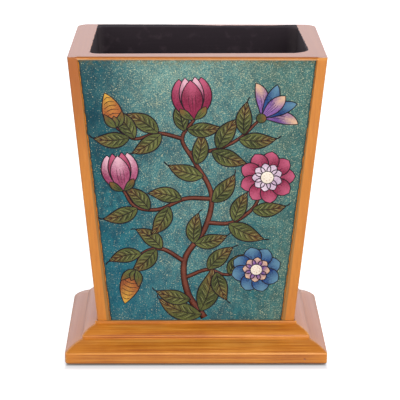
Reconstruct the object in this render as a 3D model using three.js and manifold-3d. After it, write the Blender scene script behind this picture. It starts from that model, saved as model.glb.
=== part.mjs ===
// A desk pen holder: a flared, open-topped wooden box with a painted glass let into its front and its
// back, standing on a moulded wooden base. Millimetres, +Z up. The origin is the middle of the
// underside, and the front faces -Y.
import * as THREE from "three";
import { mergeVertices } from "three/addons/utils/BufferGeometryUtils.js";
import Module from "manifold-3d";

const wasm = await Module();
wasm.setup();

// Body: four boards that lean outwards by the same amount, measured at the foot and upwards from it.
const footWidth = 70;
const footDepth = 35;
const bodyHeight = 97.5;
const flare = 8; // how far each face leans out between the foot and the rim
const sideThickness = 6;
const faceThickness = 5;
const floorThickness = 6;
const bodyCornerRadius = 1.4; // upright outer corners
const sideRim = { run: 0.6, drop: 0.6 }; // rounding of a side board's rim: inwards, and downwards
const faceRim = { run: 2, drop: 1 }; // the same for the front and back boards

// Painted glass in the front and the back.
const glassThickness = 2;
const glassSetBack = 0.3; // how far the glass lies behind the face of the wood
const stripAtRim = 3.3; // wood left beside the glass, at the rim
const stripAtFoot = 4.4; // wood left beside the glass, at the foot
const lipHeight = 1; // wood left above the glass

// Base: a board with a mitred moulding round it, on a felt sheet.
const baseHeight = 12;
const filletHeight = 0.9; // each small upright step of the moulding
const topLedge = 0.8; // flat ledge round the body's foot
const upperMember = { width: 4.4, height: 2.9 };
const lowerMember = { width: 5.8, height: 3.3 };
const memberFullness = 0.6; // 0 is a flat slope, and 1 bulges out to the slope's square corner
const baseCornerRadius = 1.4;
const baseFootEdge = { run: 0.8, drop: 0.8 };
const feltThickness = 0.5;
const feltInset = 2;
const feltCornerRadius = 1;

// Fasteners.
const pin = { length: 16, shankRadius: 0.6, headRadius: 0.9, headHeight: 0.6, tipLength: 1.8 };
const pinSetBelow = 0.4; // how far a pin's head is punched below the surface
const bodyPinFromFoot = 18;
const bodyPinFromRim = 19;
const mitrePinFromFoot = 3; // outside the body's foot, along the front
const mitrePinHeight = 2; // above the underside of the base
const screw = { bite: 3, shankRadius: 1.75, headRadius: 3.4, headHeight: 2, tipLength: 3 };
const screwFromEnd = 15; // from the end of the base board
const crossSlot = { length: 3.6, width: 0.8, depth: 1.2 };

// Clearances.
const jointGap = 0.1; // glue line between two boards
const glassClearance = 0.15;
const pinClearance = 0.1;
const screwClearance = 0.2;

// Facets.
const cornerFacets = 6;
const memberFacets = 8;
const shankFacets = 16;
const edgeFacets = 4;

// Sizes worked out from those above.
const leanAngle = Math.atan2(flare, bodyHeight);
const sideLevel = sideThickness / Math.cos(leanAngle); // thickness of a side board, measured level
const faceLevel = faceThickness / Math.cos(leanAngle);
const glassNear = glassSetBack / Math.cos(leanAngle);
const glassFar = (glassSetBack + glassThickness) / Math.cos(leanAngle);
const recessDepth = glassFar + jointGap;
const mouldingWidth = topLedge + upperMember.width + lowerMember.width;
const baseWidth = footWidth + 2 * mouldingWidth;
const baseDepth = footDepth + 2 * mouldingWidth;
const screwLength = baseHeight + screw.bite;
const baseZ = feltThickness;
const bodyZ = baseZ + baseHeight;
const pastSurface = 2; // how far a cutter runs past the face that it cuts

const goldPaint = { color: 0xc8853c, metalness: 0.45, roughness: 0.38 };
const blackPaint = { color: 0x1e1a1f, metalness: 0, roughness: 0.8 };
const paintedGlass = { color: 0x2f7f86, metalness: 0, roughness: 0.15 };
const bareWood = { color: 0xa98258, metalness: 0, roughness: 0.85 };
const steel = { color: 0x9a9a98, metalness: 0.9, roughness: 0.35 };
const felt = { color: 0x2a211d, metalness: 0, roughness: 1 };

const sides = [
  { name: "left", sign: -1 },
  { name: "right", sign: 1 },
];
const faces = [
  { name: "front", sign: -1 },
  { name: "back", sign: 1 },
];

// How far the body's faces have moved outwards at a height above its foot.
const leanAt = (height) => (flare * height) / bodyHeight;
const halfWidthAt = (height) => footWidth / 2 + leanAt(height);
const halfDepthAt = (height) => footDepth / 2 + leanAt(height);

// The wood left beside the glass at a height above the body's foot.
const stripAt = (height) => stripAtFoot + ((stripAtRim - stripAtFoot) * height) / bodyHeight;

// A three.js geometry as a solid that can be cut and joined.
function solidOf(geometry) {
  const bare = geometry.clone();
  bare.deleteAttribute("normal");
  bare.deleteAttribute("uv");
  const merged = mergeVertices(bare, 1e-4);
  const vertProperties = new Float32Array(merged.attributes.position.array);
  const triVerts = new Uint32Array(merged.index.array);
  return new wasm.Manifold(new wasm.Mesh({ numProp: 3, vertProperties, triVerts }));
}

function geometryOf(solid) {
  const mesh = solid.getMesh();
  const geometry = new THREE.BufferGeometry();
  geometry.setAttribute("position", new THREE.BufferAttribute(mesh.vertProperties, 3));
  geometry.setIndex(new THREE.BufferAttribute(mesh.triVerts, 1));
  const faceted = geometry.toNonIndexed();
  faceted.computeVertexNormals();
  return faceted;
}

function namedMesh(name, geometry, finish) {
  const mesh = new THREE.Mesh(geometry, new THREE.MeshStandardMaterial(finish));
  mesh.name = name;
  return mesh;
}

// Moves every point of a geometry to move(x, y, z).
function reshaped(geometry, move) {
  const position = geometry.attributes.position;
  for (let i = 0; i < position.count; i += 1) {
    position.setXYZ(i, ...move(position.getX(i), position.getY(i), position.getZ(i)));
  }
  return geometry;
}

// A block from one height to another, whose four sides may lean. boundsAt(height) gives them as two
// x values and two y values, each pair in either order.
function leaningBlock(low, high, boundsAt) {
  return reshaped(new THREE.BoxGeometry(1, 1, 1), (x, y, z) => {
    const height = z > 0 ? high : low;
    const { xs, ys } = boundsAt(height);
    return [
      x > 0 ? Math.max(...xs) : Math.min(...xs),
      y > 0 ? Math.max(...ys) : Math.min(...ys),
      height,
    ];
  });
}

function roundedRectangle(width, depth, radius) {
  const shape = new THREE.Shape();
  const x = width / 2 - radius;
  const y = depth / 2 - radius;
  shape.absarc(x, y, radius, 0, Math.PI / 2);
  shape.absarc(-x, y, radius, Math.PI / 2, Math.PI);
  shape.absarc(-x, -y, radius, Math.PI, Math.PI * 1.5);
  shape.absarc(x, -y, radius, Math.PI * 1.5, Math.PI * 2);
  shape.closePath();
  return shape;
}

// A slab with rounded corners from one height to another, whose top and bottom edges are rounded
// too: inwards by edge.run and up or down by edge.drop.
function roundedSlab(width, depth, low, high, cornerRadius, edge) {
  const slab = new THREE.ExtrudeGeometry(roundedRectangle(width, depth, cornerRadius), {
    depth: high - low - 2 * edge.drop,
    curveSegments: cornerFacets,
    bevelThickness: edge.drop,
    bevelSize: edge.run,
    bevelOffset: -edge.run,
    bevelSegments: edgeFacets,
  });
  return slab.translate(0, 0, low + edge.drop);
}

// The outer form of the body, which rounds the boards' upright corners and their rim.
function bodyEnvelope(cornerRadius, rim) {
  const low = -pastSurface;
  const slab = roundedSlab(footWidth, footDepth, low, bodyHeight, cornerRadius, rim);
  return solidOf(
    reshaped(slab, (x, y, z) => [x + Math.sign(x) * leanAt(z), y + Math.sign(y) * leanAt(z), z]),
  );
}

// What fills a face's glass recess between two depths behind the wood's face, kept clear of the
// recess's edges by a clearance.
function recessFilling(face, clearance, nearDepth, farDepth) {
  const low = clearance > 0 ? clearance : -pastSurface;
  return leaningBlock(low, bodyHeight - lipHeight - clearance, (height) => {
    const halfWidth = halfWidthAt(height) - stripAt(height) - clearance;
    const faceY = halfDepthAt(height);
    return {
      xs: [-halfWidth, halfWidth],
      ys: [face.sign * (faceY - nearDepth), face.sign * (faceY - farDepth)],
    };
  });
}

function glassRecess(face) {
  return solidOf(recessFilling(face, 0, -pastSurface, recessDepth));
}

// A board that faces the front or the back, between the two side boards.
function faceBoard(face) {
  return leaningBlock(0, bodyHeight, (height) => {
    const halfWidth = halfWidthAt(height) - sideLevel - jointGap;
    const faceY = halfDepthAt(height);
    return {
      xs: [-halfWidth, halfWidth],
      ys: [face.sign * faceY, face.sign * (faceY - faceLevel)],
    };
  });
}

// A side board, which covers the ends of the front and back boards.
function sideBoard(side) {
  return leaningBlock(0, bodyHeight, (height) => {
    const sideX = halfWidthAt(height);
    return {
      xs: [side.sign * sideX, side.sign * (sideX - sideLevel)],
      ys: [-halfDepthAt(height), halfDepthAt(height)],
    };
  });
}

// The floor of the compartment, between the four boards.
function floorBoard() {
  return leaningBlock(0, floorThickness, (height) => {
    const halfWidth = halfWidthAt(height) - sideLevel - jointGap;
    const halfDepth = halfDepthAt(height) - faceLevel - jointGap;
    return { xs: [-halfWidth, halfWidth], ys: [-halfDepth, halfDepth] };
  });
}

// A solid turned about Z from [radius, height] points. With a clearance it is a cutter, grown all
// round, which also runs on past its top.
function turnedPiece(outline, clearance) {
  const points = outline.map(([radius, height]) => new THREE.Vector2(radius + clearance, height));
  const top = points.at(-1);
  if (clearance > 0) points.push(new THREE.Vector2(top.x, top.y + pastSurface));
  points.unshift(new THREE.Vector2(0, -clearance));
  points.push(new THREE.Vector2(0, points.at(-1).y));
  return new THREE.LatheGeometry(points, shankFacets).rotateX(Math.PI / 2);
}

// A pin with its tip at the origin and its head up.
function pinShape(clearance = 0) {
  const neck = pin.length - pin.headHeight - clearance;
  return turnedPiece(
    [
      [pin.shankRadius / 4, 0],
      [pin.shankRadius, pin.tipLength],
      [pin.shankRadius, neck],
      [pin.headRadius, neck],
      [pin.headRadius, pin.length],
    ],
    clearance,
  );
}

// A countersunk screw with its tip at the origin and its head up.
function screwShape(clearance = 0) {
  return turnedPiece(
    [
      [screw.shankRadius / 4, 0],
      [screw.shankRadius, screw.tipLength],
      [screw.shankRadius, screwLength - screw.headHeight],
      [screw.headRadius, screwLength],
    ],
    clearance,
  );
}

// Where each fastener goes: tip is its lower end before it is turned. A body pin lies level, through
// a side board and into the end of the front or back board.
function bodyPinPlace(side, face, height) {
  const headX = halfWidthAt(height) - pinSetBelow;
  const woodMiddle = (recessDepth + faceLevel) / 2;
  const pinY = halfDepthAt(height) - woodMiddle;
  return {
    tip: new THREE.Vector3(side.sign * (headX - pin.length), face.sign * pinY, height),
    turn: new THREE.Euler(0, (side.sign * Math.PI) / 2, 0),
  };
}

// A mitre pin goes through the front or back moulding and into the end of a side moulding.
function mitrePinPlace(side, face) {
  const pinX = footWidth / 2 + mitrePinFromFoot;
  const headY = baseDepth / 2 - pinSetBelow;
  return {
    tip: new THREE.Vector3(side.sign * pinX, face.sign * (headY - pin.length), mitrePinHeight),
    turn: new THREE.Euler((-face.sign * Math.PI) / 2, 0, 0),
  };
}

// A screw stands head down, through the base board and into the floor board.
function screwPlace(side) {
  return {
    tip: new THREE.Vector3(side.sign * (footWidth / 2 - screwFromEnd), 0, screwLength),
    turn: new THREE.Euler(Math.PI, 0, 0),
  };
}

function boreFor(shape, { tip, turn }) {
  const matrix = new THREE.Matrix4().makeRotationFromEuler(turn).setPosition(tip);
  return solidOf(shape.applyMatrix4(matrix));
}

const bodyPins = sides.flatMap((side) =>
  faces.flatMap((face) =>
    [bodyPinFromFoot, bodyHeight - bodyPinFromRim].map((height, i) => ({
      name: `${side.name}_${face.name}_board_pin_${i + 1}`,
      side,
      face,
      place: bodyPinPlace(side, face, height),
    })),
  ),
);
const mitrePins = sides.flatMap((side) =>
  faces.map((face) => ({
    name: `${face.name}_${side.name}_mitre_pin`,
    place: mitrePinPlace(side, face),
  })),
);
const screws = sides.map((side) => ({
  name: `${side.name}_base_screw`,
  place: screwPlace(side),
}));

const pinBore = (entry) => boreFor(pinShape(pinClearance), entry.place);
const screwBore = (entry) => boreFor(screwShape(screwClearance), entry.place);

function fastenerMesh(entry, geometry) {
  const mesh = namedMesh(entry.name, geometry, steel);
  mesh.position.copy(entry.place.tip);
  mesh.rotation.copy(entry.place.turn);
  return mesh;
}

function screwWithCrossSlot() {
  const slotHeight = crossSlot.depth + pastSurface;
  const slotMiddle = screwLength - crossSlot.depth + slotHeight / 2;
  let solid = solidOf(screwShape());
  for (const [x, y] of [
    [crossSlot.length, crossSlot.width],
    [crossSlot.width, crossSlot.length],
  ]) {
    const slot = new THREE.BoxGeometry(x, y, slotHeight).translate(0, 0, slotMiddle);
    solid = solid.subtract(solidOf(slot));
  }
  return geometryOf(solid);
}

// The body's boards, cut for the glass and the pins, with the glass and the pins in them.
function bodyGroup() {
  const group = new THREE.Group();
  group.position.z = bodyZ;
  const recesses = faces.map(glassRecess);

  const faceEnvelope = bodyEnvelope(bodyCornerRadius + faceRim.run, faceRim);
  faces.forEach((face, i) => {
    let board = solidOf(faceBoard(face)).intersect(faceEnvelope).subtract(recesses[i]);
    for (const entry of bodyPins.filter((each) => each.face === face)) {
      board = board.subtract(pinBore(entry));
    }
    const glass = recessFilling(face, glassClearance, glassNear, glassFar);
    group.add(namedMesh(`${face.name}_board`, geometryOf(board), goldPaint));
    group.add(namedMesh(`${face.name}_glass`, glass, paintedGlass));
  });

  const sideEnvelope = bodyEnvelope(bodyCornerRadius, sideRim);
  for (const side of sides) {
    let board = solidOf(sideBoard(side)).intersect(sideEnvelope);
    for (const recess of recesses) board = board.subtract(recess);
    for (const entry of bodyPins.filter((each) => each.side === side)) {
      board = board.subtract(pinBore(entry));
    }
    group.add(namedMesh(`${side.name}_board`, geometryOf(board), goldPaint));
  }

  for (const entry of bodyPins) group.add(fastenerMesh(entry, pinShape()));
  return group;
}

// Draws one swelling member of the moulding, from the foot of its slope inwards and up to its top.
function addMember(section, inner, foot, { width, height }) {
  const middleX = inner + width / 2;
  const middleY = foot + height / 2;
  const swellX = middleX + (memberFullness * width) / 2;
  const swellY = middleY + (memberFullness * height) / 2;
  section.quadraticCurveTo(swellX, swellY, inner, foot + height);
}

// The moulding's section, drawn outwards from the base board and upwards from its underside.
function mouldingSection() {
  const step = topLedge + upperMember.width;
  const upperFoot = baseHeight - filletHeight - upperMember.height;
  const lowerFoot = upperFoot - filletHeight - lowerMember.height;
  const section = new THREE.Shape();
  section.moveTo(jointGap, 0);
  section.lineTo(mouldingWidth, 0);
  section.lineTo(mouldingWidth, lowerFoot);
  addMember(section, step, lowerFoot, lowerMember);
  section.lineTo(step, upperFoot);
  addMember(section, topLedge, upperFoot, upperMember);
  section.lineTo(topLedge, baseHeight);
  section.lineTo(jointGap, baseHeight);
  section.closePath();
  return section;
}

// A length of moulding along X on the -Y side, mitred at both ends.
function mitredMoulding(innerHalfLength, innerHalfDepth) {
  const straight = new THREE.ExtrudeGeometry(mouldingSection(), {
    depth: 1,
    curveSegments: memberFacets,
    bevelEnabled: false,
  });
  return reshaped(straight, (out, height, along) => {
    const end = along > 0.5 ? -1 : 1;
    return [end * (innerHalfLength + out - jointGap / 2), -(innerHalfDepth + out), height];
  });
}

// The base board with its moulding and fasteners.
function baseGroup() {
  const group = new THREE.Group();
  group.position.z = baseZ;

  const block = new THREE.BoxGeometry(footWidth, footDepth, baseHeight);
  let board = solidOf(block.translate(0, 0, baseHeight / 2));
  for (const entry of screws) board = board.subtract(screwBore(entry));
  group.add(namedMesh("base_board", geometryOf(board), bareWood));

  const top = baseHeight + pastSurface;
  const envelope = solidOf(
    roundedSlab(baseWidth, baseDepth, 0, top, baseCornerRadius, baseFootEdge),
  );
  const lengths = [
    { name: "front", halfLength: footWidth / 2, halfDepth: footDepth / 2, turn: 0 },
    { name: "right", halfLength: footDepth / 2, halfDepth: footWidth / 2, turn: Math.PI / 2 },
    { name: "back", halfLength: footWidth / 2, halfDepth: footDepth / 2, turn: Math.PI },
    { name: "left", halfLength: footDepth / 2, halfDepth: footWidth / 2, turn: -Math.PI / 2 },
  ];
  for (const { name, halfLength, halfDepth, turn } of lengths) {
    const placed = mitredMoulding(halfLength, halfDepth).rotateZ(turn);
    let moulding = solidOf(placed).intersect(envelope);
    for (const entry of mitrePins) moulding = moulding.subtract(pinBore(entry));
    group.add(namedMesh(`${name}_moulding`, geometryOf(moulding), goldPaint));
  }

  for (const entry of mitrePins) group.add(fastenerMesh(entry, pinShape()));
  const slotted = screwWithCrossSlot();
  for (const entry of screws) group.add(fastenerMesh(entry, slotted));
  return group;
}

// The compartment's floor stands on the base board, and the base screws bite into it.
function floorMesh() {
  let board = solidOf(floorBoard().translate(0, 0, baseHeight));
  for (const entry of screws) board = board.subtract(screwBore(entry));
  const mesh = namedMesh("floor_board", geometryOf(board), blackPaint);
  mesh.position.z = baseZ;
  return mesh;
}

function feltMesh() {
  const width = baseWidth - 2 * feltInset;
  const depth = baseDepth - 2 * feltInset;
  const sheet = new THREE.ExtrudeGeometry(roundedRectangle(width, depth, feltCornerRadius), {
    depth: feltThickness,
    curveSegments: cornerFacets,
    bevelEnabled: false,
  });
  return namedMesh("base_felt", sheet, felt);
}

const penHolder = new THREE.Group();
penHolder.name = "pen_holder";
penHolder.add(feltMesh(), baseGroup(), floorMesh(), bodyGroup());

export default penHolder;
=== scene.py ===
import math
import random

import bmesh
import bpy
from mathutils import Matrix, Vector


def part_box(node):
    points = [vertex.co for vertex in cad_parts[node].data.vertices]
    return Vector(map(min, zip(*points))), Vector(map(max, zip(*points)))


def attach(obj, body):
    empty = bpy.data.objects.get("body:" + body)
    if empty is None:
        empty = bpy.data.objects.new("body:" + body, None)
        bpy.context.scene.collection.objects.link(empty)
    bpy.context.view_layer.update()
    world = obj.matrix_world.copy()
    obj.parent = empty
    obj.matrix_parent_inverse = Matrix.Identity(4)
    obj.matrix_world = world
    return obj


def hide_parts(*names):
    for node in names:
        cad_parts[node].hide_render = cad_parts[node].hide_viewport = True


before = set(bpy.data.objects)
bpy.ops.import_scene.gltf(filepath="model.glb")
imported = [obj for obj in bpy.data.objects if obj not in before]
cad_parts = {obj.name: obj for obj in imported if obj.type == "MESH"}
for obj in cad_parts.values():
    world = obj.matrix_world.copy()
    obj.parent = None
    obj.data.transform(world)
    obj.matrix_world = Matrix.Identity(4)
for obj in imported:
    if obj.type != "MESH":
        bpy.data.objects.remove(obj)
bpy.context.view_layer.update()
bpy.ops.object.select_all(action="DESELECT")

MM = 0.001

# Sizes of the body, in metres. Heights in the body are measured from its foot.
foot_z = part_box("front_board")[0].z
body_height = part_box("front_board")[1].z - foot_z
rim_half_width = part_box("right_board")[1].x
rim_half_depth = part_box("right_board")[1].y
flare = 8 * MM
lean = math.atan2(flare, body_height)
side_thickness = 6 * MM / math.cos(lean)
face_thickness = 5 * MM / math.cos(lean)
front_corner_radius = 0.5 * MM
back_corner_radius = 4.4 * MM
strip_at_rim = 3.3 * MM
strip_at_foot = 4.4 * MM
lip_height = 1 * MM
lip_radius = 1.15 * MM
side_rim_radius = 0.5 * MM
mouth_edge_radius = 0.25 * MM
recess_depth = 2.4 * MM
glass_thickness = 2 * MM / math.cos(lean)
glass_set_back = 0.3 * MM
glass_gap = 0.04 * MM
glass_edge_radius = 0.12 * MM

# The body is handmade: its boards are thicker at the rim by these sizes, at the front and back end of
# a side board and the left and right end of the front board, and its corners are not alike.
left_board_extra = (1.1 * MM, 1.7 * MM)
right_board_extra = (0 * MM, 0.6 * MM)
front_board_extra = (0.4 * MM, 1.9 * MM)
back_left_shift = 0.6 * MM
back_left_shift_foot = body_height - 14 * MM
front_left_mouth_radius = 3 * MM
front_right_mouth_radius = 5.5 * MM
back_mouth_radius = 2.6 * MM

# Sizes of the base. A member of its moulding has a width and a height.
base_low, base_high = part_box("base_board")
base_half_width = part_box("right_moulding")[1].x
base_half_depth = -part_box("front_moulding")[0].y
foot_half_width = base_high.x
foot_half_depth = base_high.y
moulding_width = base_half_width - foot_half_width
moulding_gap = 0.1 * MM
fillet_height = 0.9 * MM
fillet_radius = 0.25 * MM
top_ledge = 0.8 * MM
upper_member = (4.4 * MM, 2.9 * MM)
lower_member = (5.8 * MM, 3.3 * MM)
member_fullness = 0.35
fascia_foot_radius = 0.75 * MM
fascia_top_radius = 0.3 * MM
base_front_left_radius = 1.4 * MM
base_front_right_radius = 0.8 * MM
base_back_radius = 4.4 * MM

# Where the moulding's members end, from the top down.
upper_top = base_high.z - fillet_height
upper_foot = upper_top - upper_member[1]
lower_top = upper_foot - fillet_height
lower_foot = lower_top - lower_member[1]

# The punched pin near the right end of the base's front. Its dent is cut by a ball, whose middle
# stands off from the moulding.
pin_low, pin_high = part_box("front_right_mitre_pin")
pin_x = (pin_low.x + pin_high.x) / 2
pin_z = (pin_low.z + pin_high.z) / 2
dent_radius = 0.55 * MM
dent_stand_off = 0.35 * MM


def half_width_at(height):
    return rim_half_width - flare + flare * height / body_height


def half_depth_at(height):
    return rim_half_depth - flare + flare * height / body_height


def strip_at(height):
    return strip_at_foot + (strip_at_rim - strip_at_foot) * height / body_height


# Materials: numbers and colours that vary over a surface.


def colour(red, green, blue):
    """A colour as it looks on a screen, 0 to 255, as the light that it stands for."""
    linear = [
        (c / 255 / 12.92) if c / 255 <= 0.04045 else ((c / 255 + 0.055) / 1.055) ** 2.4
        for c in (red, green, blue)
    ]
    return (*linear, 1)


class Wire:
    """A number that varies over a surface, with which Python expressions can be written."""

    def __init__(self, nodes, socket):
        self.nodes = nodes
        self.socket = socket

    def maths(self, operation, *others):
        values = dict(enumerate((self, *others)))
        return self.nodes.node("ShaderNodeMath", {"operation": operation}, values)

    def __add__(self, other):
        return self.maths("ADD", other)

    def __sub__(self, other):
        return self.maths("SUBTRACT", other)

    def __mul__(self, other):
        return self.maths("MULTIPLY", other)

    def __truediv__(self, other):
        return self.maths("DIVIDE", other)

    def __rsub__(self, other):
        return self.maths("MULTIPLY", -1).maths("ADD", other)

    def __abs__(self):
        return self.maths("ABSOLUTE")

    def __pow__(self, power):
        return self.maths("POWER", power)

    __radd__ = __add__

    def most(self, other):
        return self.maths("MAXIMUM", other)

    def rises(self, low, high):
        """0 below low, 1 above high, and a smooth step between them."""
        return self.nodes.node(
            "ShaderNodeMapRange",
            {"interpolation_type": "SMOOTHSTEP"},
            {"Value": self, "From Min": low, "From Max": high},
        )

    def falls(self, low, high):
        return 1 - self.rises(low, high)


class Nodes:
    """A node tree, built node by node."""

    def __init__(self, tree):
        self.tree = tree
        tree.nodes.clear()

    def node(self, kind, settings=None, values=None, out=0):
        """One output of a new node, with its settings and the values or links of its sockets."""
        node = self.tree.nodes.new(kind)
        for name, value in (settings or {}).items():
            setattr(node, name, value)
        for name, value in (values or {}).items():
            if isinstance(value, Wire):
                self.tree.links.new(value.socket, node.inputs[name])
            else:
                node.inputs[name].default_value = value
        return Wire(self, node.outputs[out])

    def axes(self, vector):
        """A vector's numbers along X, Y and Z."""
        split = self.node("ShaderNodeSeparateXYZ", {}, {0: vector})
        return [Wire(self, socket) for socket in split.socket.node.outputs]

    def end(self, kind, shader):
        """Ends the tree with that shader, in an output of that kind."""
        output = self.tree.nodes.new(kind)
        self.tree.links.new(shader.socket, output.inputs["Surface"])


class Finish(Nodes):
    """One material, whose patterns are in millimetres."""

    def __init__(self, name):
        self.material = bpy.data.materials.new(name)
        self.material.use_nodes = True
        super().__init__(self.material.node_tree)
        place = self.node("ShaderNodeTexCoord", out="Object")
        scale = (1 / MM, 1 / MM, 1 / MM)
        self.millimetres = self.node("ShaderNodeMapping", {}, {"Vector": place, "Scale": scale})
        self.x, self.y, self.z = self.axes(self.millimetres)

    def pattern_place(self, scale, shift):
        """The place in a pattern, scaled and shifted from millimetres."""
        shifts = (shift, shift, shift)
        values = {"Vector": self.millimetres, "Scale": scale, "Location": shifts}
        return self.node("ShaderNodeMapping", {}, values)

    def noise(self, size, detail=2, stretch=(1, 1, 1), roughness=0.5, shift=0):
        """Soft noise from 0 to 1, with features of about that size."""
        vector = self.pattern_place(tuple(1 / (size * s) for s in stretch), shift)
        values = {"Vector": vector, "Scale": 1, "Detail": detail, "Roughness": roughness}
        return self.node("ShaderNodeTexNoise", {"noise_dimensions": "3D"}, values)

    def specks(self, spacing, radius, shift):
        """Round dots at random places: 1 inside a dot. Also a random number for each dot."""
        vector = self.pattern_place((1 / spacing, 1 / spacing, 1 / spacing), shift)
        distance = self.node("ShaderNodeTexVoronoi", {}, {"Vector": vector, "Scale": 1}, "Distance")
        random_colour = Wire(self, distance.socket.node.outputs["Color"])
        chance = self.node("ShaderNodeSeparateColor", {}, {0: random_colour})
        edge = radius / spacing
        return distance.falls(edge * 0.6, edge), chance

    def mix(self, share, first, second):
        """A colour between two: first at share 0, second at share 1."""
        values = {0: share, 6: first, 7: second}
        return self.node("ShaderNodeMix", {"data_type": "RGBA"}, values, out=2)

    def ramp(self, value, stops):
        """A colour ramp over a number. Each stop is a place from 0 to 1 and a colour."""
        wire = self.node("ShaderNodeValToRGB", {}, {0: value})
        elements = wire.socket.node.color_ramp.elements
        for index, (position, tint) in enumerate(stops):
            element = elements[index] if index < 2 else elements.new(position)
            element.position = position
            element.color = tint
        return wire

    def bump(self, height, depth):
        """Surface relief of a height from 0 to 1, so many millimetres deep."""
        values = {"Height": height, "Distance": depth * MM, "Strength": 1}
        return self.node("ShaderNodeBump", {}, values)

    def surface(self, values):
        return self.node("ShaderNodeBsdfPrincipled", {}, values)

    def wear(self, shader):
        """Ends the material with that shader."""
        self.end("ShaderNodeOutputMaterial", shader)
        return self.material


# The finishes.
GOLD_DARK = colour(156, 80, 12)
GOLD_DEEP = colour(176, 98, 16)
GOLD_MIDDLE = colour(197, 120, 28)
GOLD_LIGHT = colour(220, 148, 58)
GOLD_PALE = colour(228, 160, 70)
GOLD_STOPS = ((0.2, GOLD_DARK), (0.36, GOLD_DEEP), (0.52, GOLD_MIDDLE), (0.74, GOLD_LIGHT))
ROSE_GOLD = colour(150, 70, 46)
OLIVE_GOLD = colour(112, 96, 48)
RIM_TAN = colour(176, 112, 92)
FASCIA_BROWN = colour(140, 92, 52)
FOOT_SHADE = colour(76, 40, 20)
DENT_SHADE = colour(110, 54, 24)
BLACK = colour(39, 31, 38)
BLACK_WORN = colour(56, 46, 53)
BLACK_SHEEN = colour(70, 63, 66)

# The stretch of brush marks along an axis.
ALONG_X = (60, 1, 1)
ALONG_Y = (1, 50, 1)
ALONG_Z = (1, 1, 34)


def brushed_gold(finish, grain, size, contrast):
    """Gold-bronze paint brushed along the grain: its colour and its surface."""
    streaks = finish.noise(size, 2, grain, 0.6)
    fine = finish.noise(size * 0.3, 2, grain, 0.6, shift=3)
    cloud = finish.noise(9, 3, shift=7)
    depth = 0.5 + (streaks * 0.6 + fine * 0.2 + cloud * 0.2 - 0.5) * contrast
    return finish.ramp(depth, GOLD_STOPS), streaks * 0.7 + fine * 0.3


def gold_surface(finish, tint, relief, depth, coat=0.7):
    return finish.surface({
        "Base Color": tint,
        "Roughness": 0.38,
        "Metallic": 0.12,
        "Coat Weight": coat,
        "Coat Roughness": 0.25,
        "Normal": finish.bump(relief, depth),
    })


def black_surface(finish, wall_sheen=0):
    worn = finish.noise(3, 4, shift=11).rises(0.52, 0.8)
    brush = finish.noise(0.6, 3, ALONG_X)
    tint = finish.mix(worn, BLACK, BLACK_WORN)
    # The black is mixed towards a grey painted sheen by the share given.
    return finish.surface({
        "Base Color": finish.mix(wall_sheen, tint, BLACK_SHEEN),
        "Roughness": 0.75 + brush * 0.15,
        "Specular IOR Level": 0.28,
        "Normal": finish.bump(brush, 0.04),
    })


# The mouth's half width and half depth at the body's foot, in millimetres.
inner_x = (rim_half_width - flare - side_thickness) / MM
inner_y = (rim_half_depth - flare - face_thickness) / MM


def between(ends, share):
    """A size that changes from one end to the other, in millimetres, at a share of the way."""
    return ends[0] / MM + share * ((ends[1] - ends[0]) / MM)


def black_places(finish, height, out):
    """Where a board is black: 1 inside the mouth, and where the black laps over the rim."""
    x, y = finish.x, finish.y
    wobble = finish.noise(2.2, 3, shift=5) - 0.5

    # Inside, everything just below the rim.
    deep = (height - body_height / MM + 0.35).falls(-0.1, 0.1)
    within = (inner_x + 3 - abs(x) + out).rises(0, 0.1) * (inner_y + 2 - abs(y) + out).rises(0, 0.1)

    # How far a place is past the mouth's walls, which are uneven and have rounded corners.
    on_left, on_face = x.falls(-1, 1), y.falls(-1, 1)
    along = (y + out + inner_y) / (2 * (inner_y + flare / MM))
    across = (x + out + inner_x) / (2 * (inner_x + flare / MM))
    wider = (front_right_mouth_radius - front_left_mouth_radius) / MM
    corner = front_left_mouth_radius / MM + (1 - on_left) * on_face * wider
    right_lap = along.rises(0, 0.13) * along.falls(0, 1.1) * 0.6
    right_extra = between(right_board_extra, along) - right_lap
    side_extra = on_left * between(left_board_extra, along) + (1 - on_left) * right_extra
    past_x = abs(x) - out - inner_x + side_extra + corner
    past_y = abs(y) - out - inner_y + on_face * between(front_board_extra, across) + corner
    past_walls = (past_x.most(0) ** 2 + past_y.most(0) ** 2) ** 0.5 - corner

    # On the rim it laps a little over the mouth's edge, and at the back almost to the outside.
    lapped = (past_walls - wobble * 1.2).falls(0.05, 0.15)
    worn = x.rises(-3, 9) * x.falls(24, 36)
    drift = finish.noise(7, 2, shift=17) - 0.4
    rim_line = (rim_half_depth - flare) / MM - 0.3 - worn * 1.3 - drift * 1.2
    at_back = (y - out - rim_line + wobble * 0.9).falls(-0.1, 0.1) * y.rises(0, 1)
    between_sides = (past_x - corner - wobble * 0.5).falls(0.05, 0.15)
    return (deep * within).most(lapped).most(at_back * between_sides)


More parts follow.
